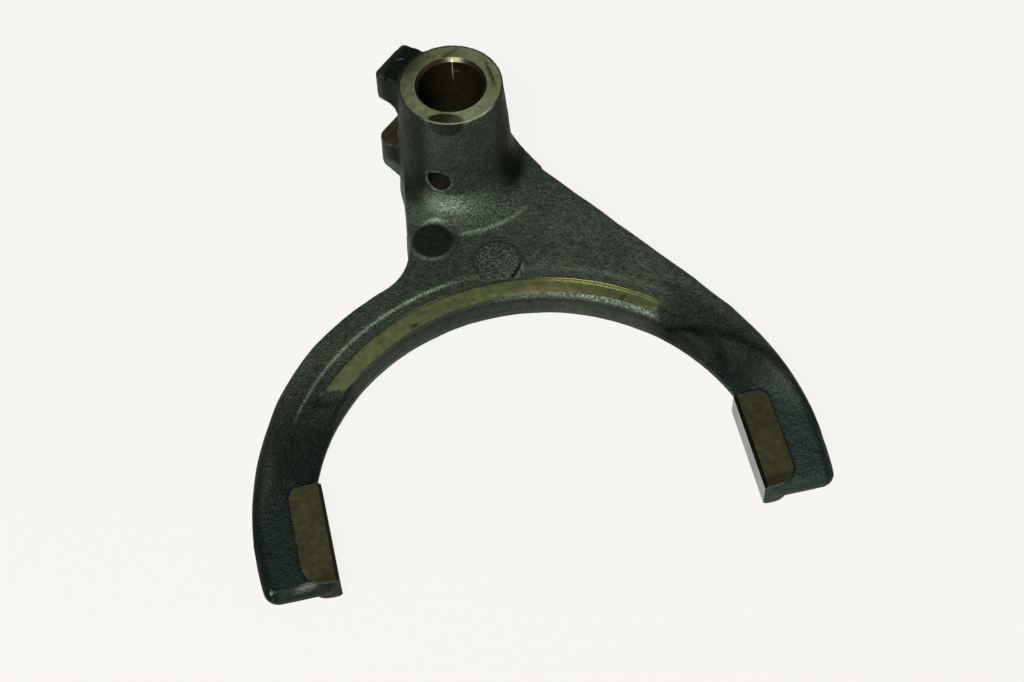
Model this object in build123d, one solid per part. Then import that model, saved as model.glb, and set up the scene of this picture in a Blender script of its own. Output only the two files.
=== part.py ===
from build123d import *
from math import asin, cos, degrees, radians, sin, sqrt, tan
import os

# Shift fork: one steel forging that slides on a rail. A tall boss carries the rail bore and a
# slotted selector lug, a flat web leads to a half-round fork, and the two arms end in wear pads.
# Millimetres. Z runs up the rail bore, Y away from the fork's mouth. The origin is on the bore's
# axis, in the mid-plane of the wear pads.

# Rail bore, boss and cross hole
BORE_DIAMETER = 20.0
BORE_CHAMFER = 1.0
BOSS_TOP_RADIUS = 15.9
BOSS_TOP = 49.7
BOSS_BOTTOM = -5.0
BOSS_EDGE_CHAMFER = 0.8
DRAFT_DEGREES = 3.8
PIN_HOLE_DIAMETER = 7.6
PIN_HOLE_HEIGHT = 24.2
PIN_HOLE_AZIMUTH = -118.9

# Forging levels
PARTING = 2.0
WEB_TOP = 10.3
BAND_LEVEL = 9.5
CRESCENT_LEVEL = 8.7
ARM_TOP = 3.8
BACK = -2.0

# Fork ring and the web's plan
RING_DISTANCE = 119.4
RING_INNER_RADIUS = 66.5
ARM_WIDTH = 18.3
TIP_REACH = 14.7
TIP_CORNER_RADIUS = 4.5
WEB_SHOULDER_RADIUS = 18.5
WEB_LEFT_REACH = 18.2
WEB_LEFT_LEAN = 7.5
WEB_LEFT_FILLET = 17.0
WEB_TOP_ROUNDING = 1.3
BACK_CHAMFER = 1.2

# Flare at the foot of the boss
FLARE_FOOT_RADIUS = 26.8
FLARE_RADIUS = 12.0
FLARE_STEP = 0.8

# Machined crescent around the ring's inner edge, and the raw band around the crescent
CRESCENT_WIDTH = 6.3
BAND_WIDTH = 3.7

# Ramps from the web down to the arms, as seen on the right-hand side
RAMP_CORNER_AZIMUTH = 34.7
RAMP_CORNER_INSET = 7.1
RAMP_INNER_SLOPE = 12.0
RAMP_OUTER_SLOPE = 47.7
RAMP_CORNER_RADIUS = 18.0
RAMP_STEEPNESS = 45.0
RAMP_TOP_ROUNDING = 4.0
RAMP_EDGE_RELIEF = 6.6
RAMP_EDGE_SHIFT = 10.5
ARM_OUTER_ROUNDING = 4.0
ARM_INNER_ROUNDING = 1.7
TIP_ROUNDING = 3.0

# Wear pads, which stand in from the ring's inner edge
PAD_STEP_IN = 4.35
PAD_WIDTH = 9.7
PAD_THICKNESS = 10.0
PAD_START_REACH = 19.1
PAD_END_REACH = 13.6
PAD_FAR_CORNER = 4.0
PAD_NEAR_CORNER = 6.5
PAD_CHAMFER = 1.0

# Forged marks beside the boss
ROUND_PAD_X = -13.8
ROUND_PAD_FROM_BORE = 28.0
ROUND_PAD_RADIUS = 7.2
ROUND_PAD_HEIGHT = 1.3
ROUND_PAD_CHAMFER = 0.6
ROUND_PATCH_X = 4.1
ROUND_PATCH_FROM_BORE = 39.6
ROUND_PATCH_RADIUS = 7.4
ROUND_PATCH_HEIGHT = 0.3

# Selector lug
LUG_AZIMUTH = 132.5
LUG_REACH = 23.0
LUG_HALF_WIDTH = 7.6
LUG_OFFSET = 1.1
LUG_DRAFT_DEGREES = 2.0
LUG_CORNER_RADIUS = 2.0
LUG_FLAT_REACH = 14.5
LUG_TOP_FALL = 7.0
LUG_BOTTOM = 4.6
LUG_BOTTOM_RISE = 15.0
SLOT_WIDTH = 20.0
SLOT_FLOOR = 18.8
SLOT_ROOT = 14.4
SLOT_ROOT_RADIUS = 4.5

# How far a cutting shape runs past what it cuts
CLEAR = 30.0
HAIR = 0.03

DRAFT = tan(radians(DRAFT_DEGREES))
RING_OUTER_RADIUS = RING_INNER_RADIUS + ARM_WIDTH
TIP_DISTANCE = RING_DISTANCE + TIP_REACH
RING_CENTRE = (0.0, -RING_DISTANCE)


def polar(radius, azimuth, centre=(0.0, 0.0)):
    """The point at a distance and an azimuth in degrees from a centre in plan."""
    angle = radians(azimuth)
    return (centre[0] + radius * cos(angle), centre[1] + radius * sin(angle))


def profile(*points):
    """A closed section in the XZ plane, from (radius, height) points."""
    return make_face(Polyline(*[(x, 0, z) for x, z in points], close=True))


def nearest(vertices, point):
    """The vertex of a plan closest to a point."""
    return vertices.sort_by_distance(Vector(*point, 0))[0]


def shoulder_azimuth(ring_outer, shoulder_radius):
    """Where the web's straight right edge leaves the ring's outer circle."""
    return degrees(asin((ring_outer - shoulder_radius) / RING_DISTANCE))


def outline(level):
    """The web and the fork ring in plan at a level, drawn in from the parting plane by the draft."""
    inset = DRAFT * abs(level - PARTING)
    ring_outer = RING_OUTER_RADIUS - inset
    shoulder_radius = WEB_SHOULDER_RADIUS - inset
    tip_distance = TIP_DISTANCE - inset
    right = shoulder_azimuth(ring_outer, shoulder_radius)
    left = 180.0 - WEB_LEFT_LEAN
    shoulder = polar(WEB_LEFT_REACH - inset, left)
    # The left edge leaves the boss at its lean and runs down to the ring's outer circle.
    along = (-sin(radians(WEB_LEFT_LEAN)), -cos(radians(WEB_LEFT_LEAN)))
    to_ring = (shoulder[0] - RING_CENTRE[0], shoulder[1] - RING_CENTRE[1])
    half = along[0] * to_ring[0] + along[1] * to_ring[1]
    gap = to_ring[0] ** 2 + to_ring[1] ** 2 - ring_outer ** 2
    run = -half - sqrt(half ** 2 - gap)
    neck = (shoulder[0] + run * along[0], shoulder[1] + run * along[1])
    web = make_face(
        Polyline(
            (0, 0),
            shoulder,
            neck,
            RING_CENTRE,
            polar(ring_outer, right, RING_CENTRE),
            polar(shoulder_radius, right),
            close=True,
        )
    )
    plan = web + Circle(shoulder_radius)
    plan += Pos(*RING_CENTRE) * Circle(ring_outer)
    plan -= Pos(*RING_CENTRE) * Circle(RING_INNER_RADIUS + inset)
    mouth = Rectangle(4 * ring_outer, 2 * ring_outer, align=(Align.CENTER, Align.MAX))
    plan -= Pos(0, -tip_distance) * mouth
    plan = fillet(nearest(plan.vertices(), neck), WEB_LEFT_FILLET + inset)
    tip = sqrt(ring_outer ** 2 - (tip_distance - RING_DISTANCE) ** 2)
    corners = [nearest(plan.vertices(), (side * tip, -tip_distance)) for side in (-1, 1)]
    return fillet(corners, TIP_CORNER_RADIUS - inset)


def drafted(plan, level, draft):
    """A solid from a plan drawn at a level down or up to the parting plane, growing by its draft."""
    return Pos(0, 0, level) * extrude(plan, PARTING - level, taper=-draft)


def slab():
    """The web's full thickness over the whole outline, with draft both ways and round edges."""
    upper = drafted(outline(WEB_TOP), WEB_TOP, DRAFT_DEGREES)
    upper = fillet(upper.edges().group_by(Axis.Z)[-1], WEB_TOP_ROUNDING)
    lower = drafted(outline(BACK), BACK, DRAFT_DEGREES)
    lower = chamfer(lower.edges().group_by(Axis.Z)[0], BACK_CHAMFER)
    return upper + lower


def boss_radius(height):
    """The boss's outer radius at a height, widest in the parting plane."""
    if height >= PARTING:
        return BOSS_TOP_RADIUS + DRAFT * (BOSS_TOP - height)
    return boss_radius(PARTING) - DRAFT * (PARTING - height)


def boss():
    """The turned boss with draft above and below the parting plane."""
    foot = boss_radius(BOSS_BOTTOM)
    section = profile(
        (0, BOSS_BOTTOM),
        (foot - BOSS_EDGE_CHAMFER, BOSS_BOTTOM),
        (foot, BOSS_BOTTOM + BOSS_EDGE_CHAMFER),
        (boss_radius(PARTING), PARTING),
        (BOSS_TOP_RADIUS, BOSS_TOP),
        (0, BOSS_TOP),
    )
    return revolve(section, Axis.Z)


def flare():
    """The concave flare from the boss to the web, held inside the outline."""
    foot_level = WEB_TOP + FLARE_STEP
    wall = BOSS_TOP_RADIUS + DRAFT * (BOSS_TOP - foot_level) + FLARE_RADIUS / cos(radians(DRAFT_DEGREES))
    # The centre of the arc touches the drafted wall and passes through the foot.
    offset = FLARE_FOOT_RADIUS - wall
    square = 1 + DRAFT ** 2
    middle = DRAFT * offset
    rise = (-middle + sqrt(middle ** 2 - square * (offset ** 2 - FLARE_RADIUS ** 2))) / square
    centre = (wall - DRAFT * rise, foot_level + rise)
    touch = (
        centre[0] - FLARE_RADIUS * cos(radians(DRAFT_DEGREES)),
        centre[1] - FLARE_RADIUS * sin(radians(DRAFT_DEGREES)),
    )
    block = profile(
        (0, WEB_TOP - FLARE_STEP),
        (FLARE_FOOT_RADIUS, WEB_TOP - FLARE_STEP),
        (FLARE_FOOT_RADIUS, touch[1]),
        (0, touch[1]),
    )
    hollow = Plane.XZ * Pos(*centre) * Circle(FLARE_RADIUS)
    outside = profile(
        (centre[0], foot_level),
        (centre[0] + CLEAR, foot_level),
        (centre[0] + CLEAR, touch[1]),
        (touch[0], touch[1]),
        centre,
    )
    solid = revolve(block, Axis.Z)
    solid -= revolve(hollow, Axis.Z)
    solid -= revolve(outside, Axis.Z)
    return solid & drafted(outline(touch[1]), touch[1], DRAFT_DEGREES)


def lug():
    """The selector lug: a drafted block whose raw top and bottom draw together away from the boss."""
    plan = Pos(0, LUG_OFFSET) * Rectangle(2 * LUG_REACH, 2 * LUG_HALF_WIDTH)
    plan = fillet(plan.vertices(), LUG_CORNER_RADIUS)
    block = drafted(plan, BOSS_TOP, LUG_DRAFT_DEGREES)
    far = 2 * LUG_REACH
    fall = tan(radians(LUG_TOP_FALL)) * (far - LUG_FLAT_REACH)
    rise = tan(radians(LUG_BOTTOM_RISE)) * (far - LUG_FLAT_REACH)
    side = profile(
        (0, LUG_BOTTOM),
        (LUG_FLAT_REACH, LUG_BOTTOM),
        (far, LUG_BOTTOM + rise),
        (far, BOSS_TOP - fall),
        (LUG_FLAT_REACH, BOSS_TOP),
        (0, BOSS_TOP),
    )
    block &= extrude(side, far, both=True)
    return Rot(0, 0, LUG_AZIMUTH) * block


def selector_slot():
    """The milled slot across the lug, with rounded root corners."""
    depth = LUG_REACH + CLEAR - SLOT_ROOT
    section = Plane.XZ * Rectangle(depth, SLOT_WIDTH, align=(Align.MIN, Align.MIN))
    corners = section.vertices().group_by(Axis.X)[0]
    section = fillet(corners, SLOT_ROOT_RADIUS)
    section = Pos(SLOT_ROOT, 0, SLOT_FLOOR) * section
    return Rot(0, 0, LUG_AZIMUTH) * extrude(section, CLEAR, both=True)


def ramp_space():
    """The space beyond the ramp on the right-hand side, down past the arm's round edges."""
    low = BACK - HAIR
    spread = (WEB_TOP - low) / tan(radians(RAMP_STEEPNESS))
    top = WEB_TOP + HAIR
    section = profile(
        (0, low),
        (RAMP_CORNER_RADIUS - spread, low),
        (RAMP_CORNER_RADIUS, top),
        (RAMP_CORNER_RADIUS + 2 * RAMP_TOP_ROUNDING, top),
        (RAMP_CORNER_RADIUS + 2 * RAMP_TOP_ROUNDING, top + CLEAR),
        (0, top + CLEAR),
    )
    crest = section.vertices().sort_by_distance(Vector(RAMP_CORNER_RADIUS, 0, top))[0]
    section = fillet(crest, RAMP_TOP_ROUNDING)
    start = 90 - RAMP_INNER_SLOPE
    end = 90 - RAMP_OUTER_SLOPE
    corner = polar(RING_INNER_RADIUS + RAMP_CORNER_INSET, RAMP_CORNER_AZIMUTH, RING_CENTRE)
    inset = RAMP_CORNER_RADIUS / cos(radians((start - end) / 2))
    centre = polar(-inset, (start + end) / 2, corner)
    turn = Rot(0, 0, end) * revolve(section, Axis.Z, start - end)
    inner = Rot(0, 0, start) * extrude(section, CLEAR, dir=(0, 1, 0))
    outer = Rot(0, 0, end) * extrude(section, RING_OUTER_RADIUS, dir=(0, -1, 0))
    first = polar(CLEAR, start + 90)
    last = polar(RING_OUTER_RADIUS, end - 90)
    floor = -RING_OUTER_RADIUS
    rest = make_face(Polyline((0, 0), first, (first[0], floor), (last[0], floor), last, close=True))
    rest = Pos(0, 0, low) * extrude(rest, top + CLEAR - low)
    return Pos(*centre) * (turn + inner + outer + rest)


def above_arms():
    """Everything above the arms' crowned top, around the fork ring's centre."""
    inside = ARM_INNER_ROUNDING
    outside = ARM_OUTER_ROUNDING
    inner = RING_INNER_RADIUS + DRAFT * abs(ARM_TOP - inside - PARTING) - HAIR
    outer = RING_OUTER_RADIUS - DRAFT * abs(ARM_TOP - outside - PARTING) + HAIR
    diagonal = 1 - sqrt(0.5)
    inner_arc = ThreePointArc(
        (inner, 0, ARM_TOP - inside),
        (inner + diagonal * inside, 0, ARM_TOP - diagonal * inside),
        (inner + inside, 0, ARM_TOP),
    )
    flat = Line((inner + inside, 0, ARM_TOP), (outer - outside, 0, ARM_TOP))
    outer_arc = ThreePointArc(
        (outer - outside, 0, ARM_TOP),
        (outer - diagonal * outside, 0, ARM_TOP - diagonal * outside),
        (outer, 0, ARM_TOP - outside),
    )
    above = Polyline(
        (outer, 0, ARM_TOP - outside),
        (outer + CLEAR, 0, ARM_TOP - outside),
        (outer + CLEAR, 0, ARM_TOP + CLEAR),
        (inner - inside, 0, ARM_TOP + CLEAR),
        (inner - inside, 0, ARM_TOP - inside),
        (inner, 0, ARM_TOP - inside),
    )
    section = make_face(Wire([inner_arc, flat, outer_arc, *above.edges()]))
    return Pos(*RING_CENTRE) * revolve(section, Axis.Z)


def edge_relief():
    """The cone that eases the right-hand outer edge over the ramp, more and more towards the arm."""
    outer = RING_OUTER_RADIUS - DRAFT * (WEB_TOP - PARTING)
    start = outer - RAMP_EDGE_RELIEF
    reach = RAMP_EDGE_RELIEF + RAMP_EDGE_SHIFT + HAIR
    section = profile(
        (start, WEB_TOP),
        (start + reach, WEB_TOP - reach),
        (start + reach, WEB_TOP + CLEAR),
        (start, WEB_TOP + CLEAR),
    )
    cone = Pos(0, RAMP_EDGE_SHIFT - RING_DISTANCE) * revolve(section, Axis.Z)
    azimuth = shoulder_azimuth(RING_OUTER_RADIUS, WEB_SHOULDER_RADIUS)
    far = 2 * RING_OUTER_RADIUS
    low = -RING_DISTANCE - far
    zone = make_face(
        Polyline(RING_CENTRE, polar(far, azimuth, RING_CENTRE), (far, low), (0, low), close=True)
    )
    return cone & Pos(0, 0, PARTING) * extrude(zone, CLEAR)


def tip_rounding():
    """The bar that rounds the arms' ends over their top edge."""
    start = -TIP_DISTANCE - HAIR
    bar = Box(4 * RING_OUTER_RADIUS, TIP_ROUNDING, TIP_ROUNDING, align=(Align.CENTER, Align.MIN, Align.MIN))
    round_bar = Rot(0, 90, 0) * Cylinder(TIP_ROUNDING, 4 * RING_OUTER_RADIUS)
    corner = Pos(0, start, ARM_TOP - TIP_ROUNDING) * bar
    return corner - Pos(0, start + TIP_ROUNDING, ARM_TOP - TIP_ROUNDING) * round_bar


def wear_pad():
    """The right-hand wear pad, chamfered along its inner edges."""
    inner = RING_INNER_RADIUS - PAD_STEP_IN
    outer = inner + PAD_WIDTH
    start = PAD_START_REACH - RING_DISTANCE
    end = -PAD_END_REACH - RING_DISTANCE
    plan = Rectangle(PAD_WIDTH, start - end, align=(Align.MIN, Align.MAX))
    plan = Pos(inner, start) * plan
    plan = fillet(nearest(plan.vertices(), (outer, start)), PAD_FAR_CORNER)
    plan = fillet(nearest(plan.vertices(), (outer, end)), PAD_NEAR_CORNER)
    block = Pos(0, 0, -PAD_THICKNESS / 2) * extrude(plan, PAD_THICKNESS)
    face = block.faces().sort_by(Axis.X)[0]
    long_edges = face.edges().filter_by(Axis.Y)
    return chamfer(long_edges, PAD_CHAMFER)


def round_mark(x, from_bore, radius, top, edge):
    """A low round forged mark standing on the web, its edge chamfered."""
    section = profile((0, PARTING), (radius, PARTING), (radius, top - edge), (radius - edge, top), (0, top))
    return Pos(x, -from_bore) * revolve(section, Axis.Z)


def rail_bore():
    """The rail bore with a chamfer at both mouths."""
    radius = BORE_DIAMETER / 2
    section = profile(
        (0, BOSS_BOTTOM - CLEAR),
        (radius + BORE_CHAMFER + CLEAR, BOSS_BOTTOM - CLEAR),
        (radius, BOSS_BOTTOM + BORE_CHAMFER),
        (radius, BOSS_TOP - BORE_CHAMFER),
        (radius + BORE_CHAMFER + CLEAR, BOSS_TOP + CLEAR),
        (0, BOSS_TOP + CLEAR),
    )
    return revolve(section, Axis.Z)


def pin_hole():
    """The cross hole through the near wall of the boss, into the rail bore."""
    reach = boss_radius(PIN_HOLE_HEIGHT) + CLEAR
    radius = PIN_HOLE_DIAMETER / 2
    drill = Cylinder(radius, reach, align=(Align.CENTER, Align.CENTER, Align.MIN))
    return Pos(0, 0, PIN_HOLE_HEIGHT) * Rot(0, 0, PIN_HOLE_AZIMUTH) * Rot(0, 90, 0) * drill


def ring_cut(radius, level):
    """A flat turned cut around the fork ring's centre, down to a level."""
    disc = Cylinder(radius, CLEAR, align=(Align.CENTER, Align.CENTER, Align.MIN))
    return Pos(*RING_CENTRE, level) * disc


def shift_fork():
    """The whole forging with its machined faces."""
    body = slab()
    crescent_radius = RING_INNER_RADIUS + CRESCENT_WIDTH
    body -= ring_cut(crescent_radius + BAND_WIDTH, BAND_LEVEL)
    arm = (ramp_space() & above_arms()) + edge_relief()
    body -= arm
    body -= mirror(arm, Plane.YZ)
    body -= tip_rounding()
    body += boss()
    body += flare()
    pad_top = WEB_TOP + ROUND_PAD_HEIGHT
    sink = Cylinder(ROUND_PAD_RADIUS, CLEAR, align=(Align.CENTER, Align.CENTER, Align.MIN))
    seat = Pos(ROUND_PAD_X, -ROUND_PAD_FROM_BORE, pad_top) * sink
    body -= seat - Cylinder(boss_radius(pad_top), CLEAR)
    body += round_mark(ROUND_PAD_X, ROUND_PAD_FROM_BORE, ROUND_PAD_RADIUS, pad_top, ROUND_PAD_CHAMFER)
    patch_top = WEB_TOP + ROUND_PATCH_HEIGHT
    edge = ROUND_PATCH_HEIGHT / 2
    body += round_mark(ROUND_PATCH_X, ROUND_PATCH_FROM_BORE, ROUND_PATCH_RADIUS, patch_top, edge)
    body += lug()
    body -= ring_cut(crescent_radius, CRESCENT_LEVEL)
    pad = wear_pad()
    body += pad
    body += mirror(pad, Plane.YZ)
    body -= selector_slot()
    body -= rail_bore()
    body -= pin_hole()
    return body


def main():
    os.makedirs("parts", exist_ok=True)
    body = shift_fork()
    export_step(body, "parts/shift_fork.step")


main()
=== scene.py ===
from math import cos, pi, radians, sin

import bmesh
import bpy
import numpy as np
from bpy.props import FloatProperty, FloatVectorProperty, IntProperty, PointerProperty
from mathutils import Matrix, Vector


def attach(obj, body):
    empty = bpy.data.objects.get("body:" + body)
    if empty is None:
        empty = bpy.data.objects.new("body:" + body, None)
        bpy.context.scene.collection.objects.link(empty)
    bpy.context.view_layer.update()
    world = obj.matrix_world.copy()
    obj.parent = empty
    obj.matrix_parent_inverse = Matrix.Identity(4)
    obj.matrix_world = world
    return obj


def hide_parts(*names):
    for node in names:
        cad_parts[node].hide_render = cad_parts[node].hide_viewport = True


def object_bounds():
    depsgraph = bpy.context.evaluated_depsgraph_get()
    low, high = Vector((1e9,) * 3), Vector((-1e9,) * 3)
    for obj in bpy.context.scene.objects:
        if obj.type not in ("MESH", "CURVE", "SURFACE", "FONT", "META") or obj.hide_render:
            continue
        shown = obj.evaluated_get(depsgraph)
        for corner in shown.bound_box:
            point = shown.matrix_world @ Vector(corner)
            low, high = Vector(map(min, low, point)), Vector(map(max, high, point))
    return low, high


bl_info = {
    "name": "Shift fork",
    "version": (1, 0, 0),
    "blender": (4, 5, 0),
    "location": "3D View > Sidebar > Shift fork",
    "description": "Builds a forged steel shift fork with its machined faces, and a plain stage",
    "category": "Add Mesh",
}

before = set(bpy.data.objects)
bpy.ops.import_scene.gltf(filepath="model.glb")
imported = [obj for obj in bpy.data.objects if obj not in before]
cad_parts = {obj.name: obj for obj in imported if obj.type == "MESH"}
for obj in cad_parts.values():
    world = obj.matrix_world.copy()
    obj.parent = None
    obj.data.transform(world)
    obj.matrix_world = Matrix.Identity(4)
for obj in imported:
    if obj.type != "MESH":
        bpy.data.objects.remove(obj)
CAD_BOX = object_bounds()
FORGING = "shift_fork"
MM = 0.001

# The part's sizes, in millimetres, in the frame of the rail bore and the pads' mid-plane
BORE_RADIUS = 10.0
BORE_CHAMFER = 1.0
BOSS_TOP_RADIUS = 15.9
BOSS_TOP = 49.7
BOSS_BOTTOM = -5.0
PARTING = 2.0
WEB_TOP = 10.3
BAND_LEVEL = 9.5
CRESCENT_LEVEL = 8.7
CRESCENT_RADIUS = 72.8
BAND_RADIUS = 76.5
RING_Y = -119.4
RING_INNER = 66.5
PIN_RADIUS = 3.8
PIN_HEIGHT = 24.2
PIN_AZIMUTH = -118.9
PAD_INNER = 62.15
PAD_OUTER = 71.85
PAD_FACE = 5.0
PAD_START = -100.3
PAD_END = -133.0
PAD_CHAMFER = 1.0
LUG_AZIMUTH = 132.5
SLOT_FLOOR = 18.8
SLOT_WIDTH = 20.0
SLOT_ROOT = 14.4
SLOT_ROOT_RADIUS = 4.5
FLARE_FOOT = 26.8
PATCH = (4.1, -39.6, 7.4)
ROUND_PAD = (-13.8, -28.0, 7.2)

# Folds in the right-hand ramp, as points in plan
FOLDS = (
    ((50, -74), (60, -78), (68, -84), (75, -91), (80, -98)),
    ((56, -76.5), (61, -82), (62.5, -88)),
)

# The crest at the flare's foot, and the crease beside the round patch
FLARE_LINE = ((-4.0, -26.9), (2.8, -26.9), (8.1, -25.8), (13.0, -24.2), (15.2, -22.7), (17.5, -21.3))
PATCH_CREASE = ((7.7, -46.0), (9.4, -44.2), (10.9, -41.9))
CREASE_LIP = (0.8, -0.5, 0.0)

# Distance between grains, and how far they stand up, on the raw skin and on machined faces
SKIN_GRAIN = 0.65 * MM
CUT_GRAIN = 0.5 * MM
CUT_GRAIN_HEIGHT = 0.05 * MM
FINE_CUT_GLOSS = 0.35

# How far the milling cutters reach past a face, and the steps around a turned one
CUTTER_REACH = 30.0
CUTTER_STEPS = 96
MERGE_DISTANCE = 1e-6
SMOOTH_ANGLE = 38
FEWEST_FACES = 1000

# The inputs of the skin's nodes that are lengths, what is stored on the skin, and what a tone gives
SKIN_LENGTHS = ("Grain height", "Grain size", "Swell height", "Swell size")
# Painted_light carries the skin's painted shade and painted highlights
SKIN_MARKS = ("Arm", "Web", "Painted_light", "Coarse", "Worn", "Hollow")
TONE = {"Color": "Color", "Roughness": "Float"}

# The camera's right, up and back directions
CAMERA_AXES = (
    (0.9747596, -0.2211151, -0.0308510),
    (0.2006975, 0.8073245, 0.5549303),
    (-0.0977967, -0.5471154, 0.8313246),
)


# Settings that a user would change


class FORK_PG_forging(bpy.types.PropertyGroup):
    """How the as-forged skin looks."""
    voxel: FloatProperty(
        name="Skin detail", description="Size of the skin's faces",
        default=0.6 * MM, min=0.3 * MM, max=2 * MM, unit="LENGTH", precision=5,
    )
    grain_height: FloatProperty(
        name="Grain height", description="How far the forged grain stands up",
        default=0.03 * MM, min=0.0, max=1 * MM, unit="LENGTH", precision=5,
    )
    grain_size: FloatProperty(
        name="Grain size", description="Distance between the forged grains",
        default=1.3 * MM, min=0.2 * MM, max=10 * MM, unit="LENGTH", precision=5,
    )
    swell_height: FloatProperty(
        name="Swell height", description="Height of the broad unevenness of the forging",
        default=0.22 * MM, min=0.0, max=1 * MM, unit="LENGTH", precision=5,
    )
    swell_size: FloatProperty(
        name="Swell size", description="Distance between the forging's broad swells",
        default=9 * MM, min=1 * MM, max=60 * MM, unit="LENGTH", precision=5,
    )
    seed: IntProperty(name="Seed", description="Picks another skin", default=4, min=0, max=999)
    colour: FloatVectorProperty(
        name="Skin colour", description="Colour of the raw forged skin", subtype="COLOR",
        size=3, min=0.0, max=1.0, default=(0.0148, 0.0198, 0.0138),
    )
    arm_tint: FloatVectorProperty(
        name="Arm tint", description="Bluish tint of the skin on the arms", subtype="COLOR",
        size=3, min=0.0, max=1.0, default=(0.007, 0.0128, 0.011),
    )
    web_tint: FloatVectorProperty(
        name="Web tint", description="Brownish tint of the skin on the web", subtype="COLOR",
        size=3, min=0.0, max=1.0, default=(0.0205, 0.0245, 0.0178),
    )


class FORK_PG_machining(bpy.types.PropertyGroup):
    """How the machined faces look."""
    stock: FloatProperty(
        name="Stock", description="Raw metal that the cutters take off",
        default=0.75 * MM, min=0.1 * MM, max=2 * MM, unit="LENGTH", precision=5,
    )
    face_colour: FloatVectorProperty(
        name="Top face colour", description="Colour of the boss's machined top", subtype="COLOR",
        size=3, min=0.0, max=1.0, default=(0.31, 0.35, 0.175),
    )
    crescent_colour: FloatVectorProperty(
        name="Crescent colour", description="Colour of the machined crescent", subtype="COLOR",
        size=3, min=0.0, max=1.0, default=(0.185, 0.205, 0.088),
    )
    pad_colour: FloatVectorProperty(
        name="Pad colour", description="Colour of the pads' machined faces", subtype="COLOR",
        size=3, min=0.0, max=1.0, default=(0.082, 0.078, 0.036),
    )
    # Brighter than the pads' faces: painted reflection on the upright sides
    side_colour: FloatVectorProperty(
        name="Pad side colour", description="Colour of the pads' bright inner sides", subtype="COLOR",
        size=3, min=0.0, max=1.0, default=(0.132, 0.15, 0.128),
    )
    bore_colour: FloatVectorProperty(
        name="Bore colour", description="Colour of the oily bore", subtype="COLOR",
        size=3, min=0.0, max=1.0, default=(0.022, 0.019, 0.009),
    )


class FORK_PG_stage(bpy.types.PropertyGroup):
    """The floor, the light and the camera."""
    lens: FloatProperty(
        name="Lens", description="Focal length on a 36 mm wide sensor",
        default=66.96, min=10.0, max=300.0,
    )
    eye: FloatVectorProperty(
        name="Camera place", description="Where the camera stands", subtype="TRANSLATION",
        size=3, unit="LENGTH", default=(-53.84 * MM, -382.08 * MM, 485.14 * MM), precision=5,
    )
    floor_colour: FloatVectorProperty(
        name="Floor colour", description="Colour of the plain floor", subtype="COLOR",
        size=3, min=0.0, max=1.0, default=(0.895, 0.875, 0.843),
    )
    key_power: FloatProperty(
        name="Key light", description="Power of the large soft light at the front left",
        default=26.0, min=0.0, max=500.0, unit="POWER",
    )
    fill_power: FloatProperty(
        name="Fill light", description="Power of the weaker light at the front right",
        default=0.7, min=0.0, max=500.0, unit="POWER",
    )
    room_brightness: FloatProperty(
        name="Room brightness", description="How bright the room around the floor is",
        default=0.30, min=0.0, max=10.0,
    )


# Mesh helpers


def new_object(name, data):
    piece = bpy.data.objects.new(name, data)
    bpy.context.scene.collection.objects.link(piece)
    return piece


def read_array(items, name, width, kind=np.float32):
    """A row of numbers for each vertex or edge."""
    values = np.empty(width * len(items), dtype=kind)
    items.foreach_get(name, values)
    return values.reshape(-1, width)


def vertex_array(mesh):
    """The vertices' places, in millimetres."""
    return read_array(mesh.vertices, "co", 3).astype(np.float64) / MM


def normal_array(mesh):
    return read_array(mesh.vertices, "normal", 3).astype(np.float64)


def set_vertices(mesh, places):
    mesh.vertices.foreach_set("co", (places * MM).astype(np.float32).ravel())
    mesh.update()


def edge_array(mesh):
    return read_array(mesh.edges, "vertices", 2, np.int32)


def set_attribute(mesh, name, values):
    layer = mesh.attributes.new(name, "FLOAT", "POINT")
    layer.data.foreach_set("value", values.astype(np.float32))


def neighbour_mean(values, ends):
    """The mean of each vertex's neighbours."""
    count = np.maximum(np.bincount(ends.ravel(), minlength=len(values)), 1)
    total = np.zeros_like(values)
    for axis in range(values.shape[1]):
        total[:, axis] += np.bincount(ends[:, 0], values[ends[:, 1], axis], len(values))
        total[:, axis] += np.bincount(ends[:, 1], values[ends[:, 0], axis], len(values))
    return total / count[:, None]


def soften(places, ends, weight, rounds, regain=0.0):
    """Moves each vertex towards its neighbours' mean by its weight, and back by what is regained."""
    for _ in range(rounds):
        places = places + weight[:, None] * (neighbour_mean(places, ends) - places)
        if regain:
            places = places - regain * weight[:, None] * (neighbour_mean(places, ends) - places)
    return places


def ease(value, start, end):
    """0 at start, 1 at end, eased between."""
    share = np.clip((value - start) / (end - start), 0.0, 1.0)
    return share * share * (3 - 2 * share)


def bell(value, centre, width):
    """1 at the centre, falling smoothly to 0 on both sides."""
    return np.exp(-((value - centre) / width) ** 2)


def plan_distance(places, centre):
    """Distance in plan from a place."""
    return np.hypot(places[:, 0] - centre[0], places[:, 1] - centre[1])


def ring_radius(places):
    """Distance in plan from the fork ring's centre."""
    return plan_distance(places, (0, RING_Y))


def ring_azimuth(places):
    """Angle in degrees above the line through both arms' middles, the same on both sides."""
    return np.degrees(np.arctan2(places[:, 1] - RING_Y, np.abs(places[:, 0])))


def boss_distance(places):
    """Distance in plan from the rail bore's axis."""
    return plan_distance(places, (0, 0))


def boss_bearing(places):
    """Angle in degrees around the rail bore's axis."""
    return np.degrees(np.arctan2(places[:, 1], places[:, 0]))


def near_pads(places):
    """True on the pads, which keep their sharp edges."""
    return (np.abs(places[:, 0]) < 72.4) & (places[:, 1] < -99.6)


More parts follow.
